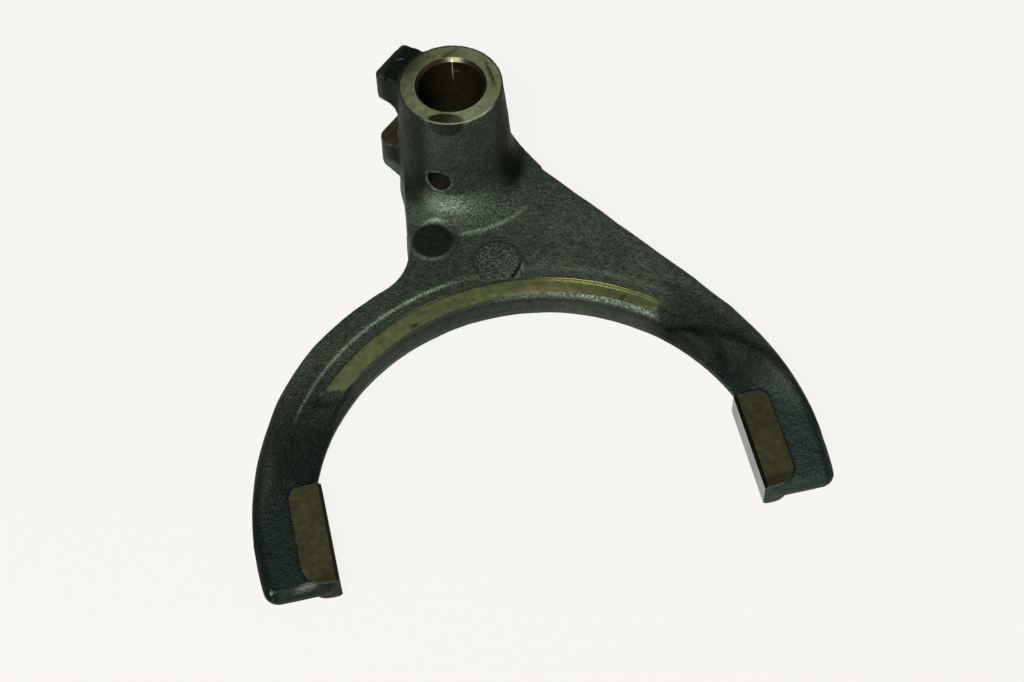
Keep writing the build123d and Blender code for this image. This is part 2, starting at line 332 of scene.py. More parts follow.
def near_line(places, points, width):
    """1 on a line through several points in plan, falling smoothly to 0 on both sides."""
    nearest = np.full(len(places), 1e3)
    plan = places[:, :2]
    for start, end in zip(points, points[1:]):
        start = np.array(start)
        step = np.array(end) - start
        share = np.clip((plan - start) @ step / (step @ step), 0.0, 1.0)
        nearest = np.minimum(nearest, np.linalg.norm(plan - start - share[:, None] * step, axis=1))
    return bell(nearest, 0, width)


def within(places, disc, start, end=0.0):
    """1 inside a round mark, falling to 0 between two distances from its edge."""
    return 1 - ease(plan_distance(places, disc), disc[2] + start, disc[2] + end)


def lug_places(places):
    """Reach along the lug, and place across it."""
    turn = radians(LUG_AZIMUTH)
    reach = places[:, 0] * cos(turn) + places[:, 1] * sin(turn)
    across = places[:, 1] * cos(turn) - places[:, 0] * sin(turn)
    return reach, across


# Cutters


def cutter_from_rings(rings):
    """A closed bmesh from loops of equal length."""
    shape = bmesh.new()
    loops = [[shape.verts.new(Vector(p) * MM) for p in ring] for ring in rings]
    count = len(loops[0])
    for low, high in zip(loops, loops[1:]):
        for i in range(count):
            j = (i + 1) % count
            shape.faces.new((low[i], low[j], high[j], high[i]))
    shape.faces.new(list(reversed(loops[0])))
    shape.faces.new(loops[-1])
    bmesh.ops.recalc_face_normals(shape, faces=shape.faces)
    return shape


def circle(steps):
    """The cosine and sine of every step around a circle."""
    return [(cos(2 * pi * i / steps), sin(2 * pi * i / steps)) for i in range(steps)]


def turned_cutter(section, steps):
    """A cutter turned about the rail bore's axis from (radius, height) points."""
    return cutter_from_rings([[(r * a, r * b, z) for a, b in circle(steps)] for r, z in section])


def arc_points(centre, radius, start, end, steps):
    """Points along an arc, its angles in degrees."""
    angles = [radians(start + (end - start) * i / steps) for i in range(steps + 1)]
    return [(centre[0] + radius * cos(a), centre[1] + radius * sin(a)) for a in angles]


def bore_cutter():
    flare = 12.0
    wide = BORE_RADIUS + BORE_CHAMFER + flare
    section = [
        (wide, BOSS_BOTTOM - flare),
        (BORE_RADIUS, BOSS_BOTTOM + BORE_CHAMFER),
        (BORE_RADIUS, BOSS_TOP - BORE_CHAMFER),
        (wide, BOSS_TOP + flare),
    ]
    return turned_cutter(section, 160)


def face_cutter(low, high):
    """A wide disc that mills the boss's top or its foot."""
    return turned_cutter([(CUTTER_REACH, low), (CUTTER_REACH, high)], CUTTER_STEPS)


def crescent_cutter():
    """The mill's path along the ring, which runs out before the ramps on both sides."""
    path = arc_points((0, RING_Y), CRESCENT_RADIUS, 46.5, 140.3, 400)
    path += [(-49.0, -73.7), (-40.0, -76.0), (40.0, -74.5), (45.5, -68.5)]
    levels = (CRESCENT_LEVEL, CRESCENT_LEVEL + 3)
    return cutter_from_rings([[(x, y, z) for x, y in path] for z in levels])


def pin_cutter():
    """The drill for the cross hole, from inside the bore outwards."""
    turn = Matrix.Rotation(radians(PIN_AZIMUTH), 3, "Z")
    rings = []
    for reach in (0.0, 40.0):
        ring = [(reach, PIN_RADIUS * a, PIN_HEIGHT + PIN_RADIUS * b) for a, b in circle(CUTTER_STEPS)]
        rings.append([turn @ Vector(point) for point in ring])
    return cutter_from_rings(rings)


def slot_cutter():
    """The selector slot's cutter: a bar with round root edges, across the lug."""
    far = SLOT_ROOT + 40
    low = SLOT_FLOOR
    high = SLOT_FLOOR + SLOT_WIDTH
    r = SLOT_ROOT_RADIUS
    section = [(far, low)]
    section += arc_points((SLOT_ROOT + r, low + r), r, 270, 180, 12)
    section += arc_points((SLOT_ROOT + r, high - r), r, 180, 90, 12)
    section += [(far, high)]
    turn = Matrix.Rotation(radians(LUG_AZIMUTH), 3, "Z")
    rings = [[turn @ Vector((x, side, z)) for x, z in section] for side in (-40, 40)]
    return cutter_from_rings(rings)


def pad_cutter(side):
    """The mill's path around a pad: its face, inner side, back and chamfers."""
    far = 20.0
    c = PAD_CHAMFER
    face = PAD_FACE
    inner = PAD_INNER
    outer = PAD_OUTER + 0.8
    section = [
        (outer, face), (inner + c, face), (inner, face - c), (inner, -face + c), (inner + c, -face),
        (PAD_OUTER + far, -face), (PAD_OUTER + far, -face - far), (inner - far, -face - far),
        (inner - far, face + far), (outer, face + far),
    ]
    rings = [[(side * x, y, z) for x, z in section] for y in (PAD_START - 0.2, PAD_END - far)]
    return cutter_from_rings(rings)


def cut(piece, shape, name, materials):
    """Cuts a machined shape out; the materials are for its flat, upright and slanting faces."""
    mesh = bpy.data.meshes.new(name)
    shape.to_mesh(mesh)
    shape.free()
    for material in (materials * 3)[:3]:
        mesh.materials.append(material)
    if len(materials) > 1:
        for polygon in mesh.polygons:
            normal = polygon.normal
            upright = abs(normal.z) < 0.1 and (abs(normal.x) > 0.9 or len(polygon.vertices) == 4)
            polygon.material_index = 0 if abs(normal.z) > 0.9 else 1 if upright else 2
    cutter = new_object(name, mesh)
    modifier = piece.modifiers.new(name, "BOOLEAN")
    modifier.operation = "DIFFERENCE"
    modifier.solver = "MANIFOLD"
    modifier.material_mode = "TRANSFER"
    modifier.object = cutter
    bake(piece)
    bpy.data.objects.remove(cutter)


def bake(piece):
    """Turns a piece and its modifiers into a plain mesh."""
    depsgraph = bpy.context.evaluated_depsgraph_get()
    result = bpy.data.meshes.new_from_object(piece.evaluated_get(depsgraph), depsgraph=depsgraph)
    old = piece.data
    piece.modifiers.clear()
    piece.data = result
    bpy.data.meshes.remove(old)


# The raw forging's shape


def soften_forging(places, ends, normals):
    """Rounds the solid's edges as forging leaves them, most of all over the ramps and the lug."""
    places = soften(places, ends, np.full(len(places), 0.5), 3, regain=0.9)
    azimuth = ring_azimuth(places)
    z = places[:, 2]
    upper = ease(normals[:, 2], 0.0, 0.3) * ease(z, 2.4, 3.4)
    ramps = ease(azimuth, 0, 8) * (1 - ease(azimuth, 37, 45)) * upper * ~near_pads(places)
    places = soften(places, ends, 0.5 * ramps, 40)
    outer = (ring_radius(places) > 79) * ease(z, -1.4, -0.4)
    edge = ease(azimuth, -8, 14) * (1 - ease(azimuth, 26, 34)) * outer
    places = soften(places, ends, 0.5 * edge, 40)
    reach, across = lug_places(places)
    lug = ease(reach, 16.5, 19) * ease(z, 3, 6) * (np.abs(across) < 13)
    places = soften(places, ends, 0.5 * lug, 5, regain=0.5)
    foot = bell(boss_distance(places), FLARE_FOOT, 2.0) * (z > 9.8) * (places[:, 1] < -8)
    places = soften(places, ends, 0.5 * foot, 14)
    step = bell(ring_radius(places), BAND_RADIUS, 1.4) * (z > 8.6) * (places[:, 1] > RING_Y)
    return soften(places, ends, 0.5 * step, 8)


def shape_forging(places, normals):
    """Adds what only the raw forging shows: the parting ridge, the folds, the crest and the crease."""
    places = places.copy()
    z = places[:, 2]
    radius = ring_radius(places)
    flat = np.hypot(normals[:, 0], normals[:, 1])
    wall = ease(flat, 0.6, 0.9) * (boss_distance(places) > 27)
    wall *= np.maximum(ease(ring_azimuth(places), 26, 44), radius < RING_INNER + 2)
    ridge = 0.22 * bell(z, PARTING, 0.45) * wall * ~near_pads(places)
    places[:, :2] += ridge[:, None] * normals[:, :2] / np.maximum(flat, 0.1)[:, None]
    top = ease(normals[:, 2], 0.3, 0.6)
    for fold in FOLDS:
        places[:, 2] -= 0.5 * near_line(places, fold, 1.5) * top
    places[:, 2] += 0.45 * near_line(places, FLARE_LINE, 0.55) * top
    crease = near_line(places, PATCH_CREASE, 0.3)
    places[:, 2] -= 0.5 * crease * top * (z > 8.8)
    return places


def crescent_stock(places):
    """How far the raw ring stands over the mill's level, less where it rounds or dips away."""
    radius = ring_radius(places)
    azimuth = ring_azimuth(places)
    right = places[:, 0] > 0
    stock = np.full(len(places), BAND_LEVEL - CRESCENT_LEVEL)
    # The inner edge rounds over, more and more towards the right-hand end.
    turned = np.where(right, 90 - azimuth, azimuth - 90)
    width = 0.25 + 2.6 * np.clip((turned + 6) / 44, 0.0, 1.0) ** 1.2
    inside = RING_INNER + width - radius
    stock = np.minimum(stock, -0.9 * inside)
    stock = np.where(inside > 0, -0.45 * width * (inside / width) ** 2, stock)
    # Beyond both ends of the crescent the skin lies below the mill's level.
    right_end = ease(azimuth - (radius - 70.5) * 0.5, 49.6, 44.5)
    left_end = ease(-places[:, 1], 72.7, 75.0)
    stock -= np.where(right, 1.9 * right_end, 1.9 * left_end)
    # Both ends run out into the ramps.
    fade = np.where(right, ease(azimuth, 36, 45), 1 - ease(-places[:, 1], 75.5, 79))
    return np.where(stock < 0, stock * fade, stock)


def leave_stock(places, stock):
    """Moves the skin out wherever a cutter will pass, so that every cut is clean."""
    places = places.copy()
    x, y, z = places.T.copy()
    side = np.abs(x)
    boss = boss_distance(places)
    radius = ring_radius(places)
    moved = np.zeros(len(places), dtype=bool)

    def push(where, shift):
        places[where] += shift[where] if shift.ndim == 2 else shift
        moved[where] = True

    up = np.array([0.0, 0.0, stock])
    face = (z > BOSS_TOP - 0.5) & (boss < BOSS_TOP_RADIUS + 0.1)
    flared = boss < BORE_RADIUS + BORE_CHAMFER + 0.3
    mouth = flared & (z > BOSS_TOP - BORE_CHAMFER - 0.4)
    push(face | mouth, up)
    foot = (z < BOSS_BOTTOM + 0.7) & (boss < 21)
    push(foot, -up)
    lower_mouth = flared & (z < BOSS_BOTTOM + BORE_CHAMFER + 0.4)
    inward = -stock * places / np.maximum(boss, 1)[:, None]
    inward[:, 2] = 0
    push((boss < BORE_RADIUS + 0.6) | mouth | lower_mouth, inward)
    # The crescent
    zone = (radius < CRESCENT_RADIUS + 0.5) & (z > 5.0) & (z < WEB_TOP + 0.3) & (ring_azimuth(places) > 34)
    lift = crescent_stock(places) * np.clip((z - 5.0) / 3.2, 0.0, 1.0)
    level = np.where(lift > 0, np.maximum(np.minimum(z + lift, BAND_LEVEL), z), z + lift)
    places[zone, 2] = level[zone]
    moved |= zone & (lift > 0.35)
    # The pads
    pad = (y < PAD_START - 0.45) & (side < PAD_OUTER + 0.5) & (y > PAD_END - 2)
    push(pad & (z > PAD_FACE - 0.8), up)
    push(pad & (z < -PAD_FACE + 0.9), -up)
    across = np.zeros_like(places)
    across[:, 0] = -stock * np.sign(x)
    push(pad & (side < PAD_INNER + PAD_CHAMFER + 0.3), across)
    # The cross hole
    turn = radians(PIN_AZIMUTH)
    along = x * cos(turn) + y * sin(turn)
    axis = np.array([cos(turn), sin(turn), 0.0])
    off = np.stack([x, y, z - PIN_HEIGHT], axis=1) - along[:, None] * axis
    distance = np.linalg.norm(off, axis=1)
    hole = (along > 9) & (distance < PIN_RADIUS + 0.6)
    push(hole, -stock * off / np.maximum(distance, 0.1)[:, None])
    # The slot
    reach, lean = lug_places(places)
    half = SLOT_WIDTH / 2
    level = z - SLOT_FLOOR - half
    back = np.minimum(reach - SLOT_ROOT - SLOT_ROOT_RADIUS, 0.0)
    rise = np.sign(level) * np.maximum(np.abs(level) - half + SLOT_ROOT_RADIUS, 0.0)
    depth = np.hypot(back, rise)
    slot = (np.abs(depth - SLOT_ROOT_RADIUS) < 0.6) & (reach > SLOT_ROOT - 0.6) & (np.abs(lean) < 14)
    lug = radians(LUG_AZIMUTH)
    away = np.stack([back * cos(lug), back * sin(lug), rise], axis=1)
    push(slot, -stock * away / np.maximum(depth, 0.1)[:, None])
    return places, moved


def clip_to_box(places):
    """Keeps every vertex inside the solid's own box."""
    low = np.array(CAD_BOX[0]) / MM + 0.002
    high = np.array(CAD_BOX[1]) / MM - 0.002
    return np.clip(places, low, high)


def raw_forging(settings, machining):
    """The forging before machining: the solid's skin, softened, with stock left to cut."""
    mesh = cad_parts[FORGING].data.copy()
    mesh.name = "forged_body"
    mesh.materials.clear()
    shape = bmesh.new()
    shape.from_mesh(mesh)
    bmesh.ops.remove_doubles(shape, verts=shape.verts, dist=MERGE_DISTANCE)
    shape.to_mesh(mesh)
    shape.free()
    piece = new_object("forged_body", mesh)
    remesh = piece.modifiers.new("skin", "REMESH")
    remesh.mode = "VOXEL"
    remesh.voxel_size = settings.voxel
    bake(piece)
    mesh = piece.data
    ends = edge_array(mesh)
    places = soften_forging(vertex_array(mesh), ends, normal_array(mesh))
    set_vertices(mesh, places)
    places = shape_forging(places, normal_array(mesh))
    places, moved = leave_stock(places, machining.stock / MM)
    set_vertices(mesh, places)
    raw = 1.0 - moved
    raw *= 1 - 0.8 * within(places, ROUND_PAD, -0.8) * (places[:, 2] > 11)
    raw *= 1 + 2.6 * within(places, PATCH, -0.6, 0.2) * (places[:, 2] > 9.6)
    raw *= 1 - 0.45 * ease(-places[:, 1], 80, 94)
    set_attribute(mesh, "raw", raw)
    return piece


def skin_group():
    """The geometry nodes that lay grain and swells over the raw skin."""
    tree, given, result = new_group(
        "as_forged_skin",
        {"Geometry": "Geometry", **dict.fromkeys(SKIN_LENGTHS, "Float"), "Seed": "Int", "Skin": "Material"},
        {"Geometry": "Geometry"},
        "GeometryNodeTree",
    )
    place = put(tree, "GeometryNodeInputPosition").outputs[0]
    heights = []
    for name, detail in (("Grain", 3.0), ("Swell", 1.0)):
        scale = maths(tree, "DIVIDE", 1.0, given[name + " size"])
        noise = put(
            tree, "ShaderNodeTexNoise",
            {"Vector": place, "W": given["Seed"], "Scale": scale, "Detail": detail},
            noise_dimensions="4D",
        )
        centred = maths(tree, "SUBTRACT", noise.outputs[0], 0.5)
        heights.append(product(tree, centred, 2.0, given[name + " height"]))
    total = maths(tree, "ADD", heights[0], heights[1])
    raw = put(tree, "GeometryNodeInputNamedAttribute", {"Name": "raw"}, data_type="FLOAT")
    lift = product(tree, total, raw.outputs[0])
    normal = put(tree, "GeometryNodeInputNormal").outputs[0]
    offset = put(tree, "ShaderNodeVectorMath", {0: normal, "Scale": lift}, operation="SCALE")
    moved = put(
        tree, "GeometryNodeSetPosition",
        {"Geometry": given["Geometry"], "Offset": offset.outputs[0]},
    )
    real = put(tree, "GeometryNodeRealizeInstances", {"Geometry": moved.outputs[0]})
    dressed = put(
        tree, "GeometryNodeSetMaterial",
        {"Geometry": real.outputs[0], "Material": given["Skin"]},
    )
    feed(tree, result, {0: dressed.outputs[0]})
    return tree


def lay_skin(piece, settings, material):
    """Runs the skin's nodes on a piece and keeps the result."""
    tree = skin_group()
    modifier = piece.modifiers.new("skin", "NODES")
    modifier.node_group = tree
    values = {name: getattr(settings, name.lower().replace(" ", "_")) for name in SKIN_LENGTHS}
    values.update({"Seed": settings.seed, "Skin": material})
    for item in tree.interface.items_tree:
        if item.in_out == "INPUT" and item.name in values:
            modifier[item.identifier] = values[item.name]
    bake(piece)


def arm_painted_light(places):
    """The left arm is darker; both ramps, the arms' outer edges and the folds get painted shade."""
    x, y, _ = places.T
    azimuth = ring_azimuth(places)
    radius = ring_radius(places)
    painted_light = 1 - 0.45 * ease(-x, 0, 30) * ease(-y, 66, 84)
    ramp = ease(azimuth, 12, 22) * (1 - ease(azimuth, 42, 52)) * (1 - ease(radius, 77, 82))
    painted_light *= 1 - np.where(x > 0, 0.62, 0.36) * ramp
    painted_light *= 1 - 0.5 * ease(radius, 80.5, 82.5) * (1 - ease(azimuth, 24, 40))
    for fold in FOLDS:
        painted_light *= 1 - 0.5 * near_line(places, fold, 1.6)
    return painted_light


def boss_painted_light(places):
    """Painted shade on the column's sides and its right foot, the lug darker; painted highlights on the
    flare, its crest and the hole's lower rim.
    """
    x, y, z = places.T
    boss = boss_distance(places)
    around = boss_bearing(places)
    reach, across = lug_places(places)
    side = np.maximum(ease(around, -62, -38), ease(-around, 122, 140)) * (1 - ease(boss, 20, 24))
    painted_light = 1 - 0.74 * side * (z > 11.5)
    corner = bell(around, -28, 24) * ease(boss, 15, 17) * (1 - ease(boss, 19.5, 23))
    painted_light *= 1 - 0.6 * corner
    painted_light *= 1 - 0.25 * ease(reach, 15, 17) * (np.abs(across) < 14)
    painted_light *= 1 + 2.6 * bell(boss, 19.8, 2.0) * bell(around, -112, 22) * (z < 19)
    painted_light *= 1 + 1.6 * near_line(places, FLARE_LINE, 0.55) * (z > 9) * (z < 14)
    turn = radians(PIN_AZIMUTH)
    beside = y * cos(turn) - x * sin(turn)
    above = z - PIN_HEIGHT
    lower = bell(np.degrees(np.arctan2(above, beside)), -125, 40)
    rim = bell(np.hypot(beside, above), PIN_RADIUS + 0.2, 0.35)
    return painted_light * (1 + 3.0 * lower * rim * (y < -8))


def web_painted_light(places):
    """The round pad darker inside with a painted highlight around its rim and painted shadow below it, the
    patch's rim darker, painted shade in its crease with a painted highlight on the lip, the ring's inner
    wall darker at the top, and painted highlights on the band's step and the ring's inner edge.
    """
    x, y, z = places.T
    radius = ring_radius(places)
    beyond = plan_distance(places, ROUND_PAD) - ROUND_PAD[2]
    bearing = np.degrees(np.arctan2(y - ROUND_PAD[1], x - ROUND_PAD[0]))
    far = bell(bearing, 75, 26)
    near = bell(bearing, -100, 50)
    raised = z > 10.6
    painted_light = 1 - 0.66 * (1 - ease(beyond, -1.1, -0.5)) * raised
    painted_light *= 1 + 3.2 * far * bell(beyond, 0.3, 0.6) * raised
    painted_light *= 1 + 0.9 * near * bell(beyond, -0.4, 0.35) * raised
    painted_light *= 1 - 0.55 * near * bell(beyond, 0.5, 0.5) * (z > 9.5)
    painted_light *= 1 - 0.45 * bell(plan_distance(places, PATCH), PATCH[2], 0.4) * (z > 9)
    painted_light *= 1 - 0.75 * near_line(places, PATCH_CREASE, 0.45) * (z > 8.8)
    painted_light *= 1 + 1.6 * near_line(places - CREASE_LIP, PATCH_CREASE, 0.35) * (z > 8.8)
    painted_light *= 1 - 0.4 * (radius < RING_INNER + 1.0) * ease(z, 3.5, 6.5)
    painted_light *= 1 + 3.2 * bell(radius, BAND_RADIUS - 0.3, 0.34) * left_arc(places) * (z > 8)
    return painted_light * (1 + 1.5 * inner_edge(places))


def skin_painted_light(places):
    """Painted light on the raw skin: below 1 for painted shade and darker zones, above 1 for painted
    highlights.
    """
    return arm_painted_light(places) * boss_painted_light(places) * web_painted_light(places)


def inner_edge(places):
    """1 on the skin's rounded edge inside the crescent, wider towards the right-hand end."""
    azimuth = ring_azimuth(places)
    right = (places[:, 0] > 0) * ease(azimuth, 36, 46)
    width = 0.7 + 2.4 * right * ease(-azimuth, -92, -50)
    inside = 1 - ease(ring_radius(places) - RING_INNER, 0.6 * width, width + 0.2)
    return inside * ease(places[:, 2], 6.8, 8.0) * (places[:, 1] > -72) * np.maximum(right, 0.5)


def skin_coarse_and_glints(places):
    """How coarse the raw skin is and how strong its bright specks are; the specks are painted glints on the
    grain, strongest on the round patch, at the flare's foot and along the ring's inner edge.
    """
    y, z = places[:, 1], places[:, 2]
    around = boss_bearing(places)
    front = ease(around, -130, -105) * (1 - ease(around, -50, -20))
    coarse = np.maximum(0.3 - 0.2 * ease(-y, 84, 96), 0.8 * bell(boss_distance(places), 22, 4.5) * front)
    coarse = np.maximum(coarse, 0.9 * within(places, PATCH, -0.5) * (z > 9))
    coarse = np.maximum(coarse, 0.9 * inner_edge(places))
    return coarse * (1 - 0.9 * within(places, ROUND_PAD, -0.6) * (z > 10.6))


def left_arc(places):
    """1 along the left half of the ring, from the round patch to where the arm's ramp begins."""
    return ease(-places[:, 0], 8, 16) * (1 - ease(-places[:, 1], 78, 84)) * (places[:, 1] > RING_Y)


def mark_skin(mesh):
    """Stores where the skin is worn, hollow, coarse, bluish or brownish, and its painted light, for its
    material.
    """
    places = vertex_array(mesh)
    normals = normal_array(mesh)
    ends = edge_array(mesh)
    bulge = ((places - neighbour_mean(places, ends)) * normals).sum(axis=1)[:, None]
    bulge = np.clip(bulge, -0.3, 0.3)
    for _ in range(2):
        bulge = 0.5 * bulge + 0.5 * neighbour_mean(bulge, ends)
    bulge = bulge[:, 0]
    x, y, z = places.T
    marks = {
        "worn": ease(bulge, 0.05, 0.13),
        "hollow": ease(-bulge, 0.02, 0.09),
        "painted_light": skin_painted_light(places),
        "coarse": skin_coarse_and_glints(places),
        "arm": ease(-z, -7.5, -4.0) * ease(-y, 76, 92),
        "web": ease(x, 0, 34) * ease(-y, 14, 34) * (1 - ease(-y, 86, 100)) * ease(z, 5, 8),
    }
    for name, values in marks.items():
        set_attribute(mesh, name, values)


# Node helpers


def feed(tree, node, inputs):
    """Joins each of a node's inputs to a socket, or sets it to a value."""
    for key, value in inputs.items():
        if isinstance(value, bpy.types.NodeSocket):
            tree.links.new(value, node.inputs[key])
        else:
            node.inputs[key].default_value = value
    return node


def put(tree, kind, inputs=None, **settings):
    """Adds a node with its settings and inputs."""
    node = tree.nodes.new(kind)
    for name, value in settings.items():
        setattr(node, name, value)
    return feed(tree, node, inputs or {})


def maths(tree, operation, first, second=0.0):
    return put(tree, "ShaderNodeMath", {0: first, 1: second}, operation=operation).outputs[0]


def span(tree, value, low, high, start=0.0, end=1.0):
    """Maps a value from low..high to start..end, held at both ends."""
    inputs = {"Value": value, "From Min": low, "From Max": high, "To Min": start, "To Max": end}
    return put(tree, "ShaderNodeMapRange", inputs).outputs[0]


def blend(tree, share, first, second, way="MIX"):
    inputs = {0: share, 6: first, 7: second}
    node = put(tree, "ShaderNodeMix", inputs, data_type="RGBA", blend_type=way)
    return node.outputs[2]


def noise(tree, vector, scale, detail=2.0, roughness=0.5):
    inputs = {"Vector": vector, "Scale": scale, "Detail": detail, "Roughness": roughness}
    return put(tree, "ShaderNodeTexNoise", inputs).outputs[0]


def attribute(tree, name):
    node = tree.nodes.new("ShaderNodeAttribute")
    node.attribute_name = name
    return node.outputs["Fac"]


def new_group(name, inputs, outputs, kind="ShaderNodeTree"):
    """A node group with named sockets; returns it, what it is given and its result."""
    tree = bpy.data.node_groups.new(name, kind)
    for way, sockets in (("INPUT", inputs), ("OUTPUT", outputs)):
        for label, socket in sockets.items():
            tree.interface.new_socket(label, in_out=way, socket_type="NodeSocket" + socket)
    return tree, tree.nodes.new("NodeGroupInput").outputs, tree.nodes.new("NodeGroupOutput")


def use_group(tree, group, inputs):
    return put(tree, "ShaderNodeGroup", inputs, node_tree=bpy.data.node_groups[group]).outputs


def greyed(tree, colour, tone):
    """A colour made darker or brighter by a tone."""
    grey = put(tree, "ShaderNodeCombineColor", {0: tone, 1: tone, 2: tone}).outputs[0]
    return blend(tree, 1.0, colour, grey, "MULTIPLY")


def product(tree, first, *others):
    for other in others:
        first = maths(tree, "MULTIPLY", first, other)
    return first


def rgba(colour):
    return (colour[0], colour[1], colour[2], 1.0)


# Node groups


def grain_group():
    """The height of fine forged grain."""
    tree, given, result = new_group("grain", {"Vector": "Vector", "Size": "Float"}, {"Height": "Float"})
    scale = maths(tree, "DIVIDE", 1.0, given["Size"])
    fine = noise(tree, given["Vector"], scale, 3.0, 0.6)
    wide = product(tree, scale, 0.9)
    cells = put(
        tree, "ShaderNodeTexVoronoi",
        {"Vector": given["Vector"], "Scale": wide, "Smoothness": 0.5},
        feature="SMOOTH_F1",
    ).outputs[0]
    coarse = noise(tree, given["Vector"], product(tree, scale, 0.3), 2.0)
    height = maths(tree, "ADD", product(tree, fine, 0.6), product(tree, cells, 0.35))
    height = maths(tree, "ADD", height, product(tree, coarse, 0.7))
    feed(tree, result, {"Height": height})
    return tree


def spot_group():
    """A ragged mark around a place: 1 inside, 0 outside."""
    vectors = dict.fromkeys(("Vector", "Place", "Turn", "Size"), "Vector")
    floats = dict.fromkeys(("Softness", "Raggedness", "Grit"), "Float")
    tree, given, result = new_group("spot", {**vectors, **floats}, {"Mask": "Float"})
    local = put(
        tree, "ShaderNodeMapping",
        {
            "Vector": given["Vector"], "Location": given["Place"],
            "Rotation": given["Turn"], "Scale": given["Size"],
        },
        vector_type="TEXTURE",
    ).outputs[0]
    distance = put(tree, "ShaderNodeVectorMath", {0: local}, operation="LENGTH").outputs["Value"]
    scale = maths(tree, "DIVIDE", 1.0, given["Grit"])
    rag = maths(tree, "SUBTRACT", noise(tree, given["Vector"], scale, 3.0), 0.5)
    rag = product(tree, rag, product(tree, given["Raggedness"], 2.0))
    edge = maths(tree, "ADD", distance, rag)
    outer = maths(tree, "ADD", 1.0, given["Softness"])
    inner = maths(tree, "SUBTRACT", 1.0, given["Softness"])
    feed(tree, result, {"Mask": span(tree, edge, outer, inner)})
    return tree


def forged_tone_group():
    """The raw skin's colour and roughness."""
    colours = dict.fromkeys(("Skin", "Arm tint", "Web tint"), "Color")
    floats = dict.fromkeys(SKIN_MARKS, "Float")
    tree, given, result = new_group("forged_tone", {"Vector": "Vector", **colours, **floats}, TONE)
    vector = given["Vector"]
    broad = noise(tree, vector, 45.0, 3.0)
    small = noise(tree, vector, 420.0, 4.0, 0.65)
    speck = noise(tree, vector, 1700.0, 2.0)
    blue = product(tree, span(tree, broad, 0.35, 0.65, 0.55, 1.0), given["Arm"])
    colour = blend(tree, blue, given["Skin"], given["Arm tint"])
    brown = product(tree, span(tree, broad, 0.3, 0.6, 0.4, 1.0), given["Web"])
    colour = blend(tree, brown, colour, given["Web tint"])
    # Bright specks in the grain where the skin is coarse: painted glints
    grit = span(tree, noise(tree, vector, 1700.0, 2.0, 0.6), 0.42, 0.62, -0.55, 1.3)
    # The painted light darkens the skin as painted shade and brightens it as painted highlights
    tone = product(
        tree,
        span(tree, broad, 0.3, 0.7, 0.78, 1.2),
        span(tree, small, 0.3, 0.7, 0.72, 1.3),
        span(tree, speck, 0.35, 0.7, 0.85, 1.25),
        span(tree, given["Hollow"], 0.0, 1.0, 1.0, 0.55),
        given["Painted_light"],
        maths(tree, "ADD", 1.0, product(tree, grit, given["Coarse"])),
    )
    colour = greyed(tree, colour, tone)
    rub = product(tree, given["Worn"], span(tree, small, 0.42, 0.62))
    colour = blend(tree, product(tree, rub, 0.55), colour, WORN)
    rough = maths(tree, "ADD", span(tree, small, 0.3, 0.7, 0.40, 0.56), product(tree, rub, -0.08))
    feed(tree, result, {"Color": colour, "Roughness": rough})
    return tree


def machined_tone_group():
    """A machined face's colour and roughness, with old oil dried on it."""
    colours = dict.fromkeys(("Metal", "Stain"), "Color")
    floats = dict.fromkeys(("Stained share", "Gloss"), "Float")
    tree, given, result = new_group("machined_tone", {"Vector": "Vector", **colours, **floats}, TONE)
    vector = given["Vector"]
    cloud = noise(tree, vector, 110.0, 4.0, 0.6)
    mottle = noise(tree, vector, 520.0, 3.0, 0.6)
    speck = noise(tree, vector, 2100.0, 2.0)
    share = product(tree, span(tree, cloud, 0.38, 0.66), given["Stained share"])
    colour = blend(tree, share, given["Metal"], given["Stain"])
    mottled = span(tree, mottle, 0.3, 0.7, 0.86, 1.14)
    colour = greyed(tree, colour, product(tree, mottled, span(tree, speck, 0.3, 0.7, 0.94, 1.06)))
    rough = maths(tree, "ADD", given["Gloss"], span(tree, mottle, 0.3, 0.7, -0.05, 0.06))
    feed(tree, result, {"Color": colour, "Roughness": rough})
    return tree


# Colours of dirt and wear, and of painted shade and painted highlights
OIL_AND_SHADE = (0.004, 0.005, 0.0035, 1)
DIRT_AND_SHADE = (0.022, 0.022, 0.012, 1)
WORN = (0.16, 0.18, 0.15, 1)
SCRAPED = (0.30, 0.32, 0.27, 1)
BARE_AND_HIGHLIGHT = (0.85, 0.82, 0.62, 1)
RIM_SHADE = (0.03, 0.033, 0.02, 1)
RIM_HIGHLIGHT = (0.75, 0.78, 0.5, 1)
SKIN_GLEAM = (0.78, 1.0, 0.74, 1)
OLIVE = (0.13, 0.12, 0.055)

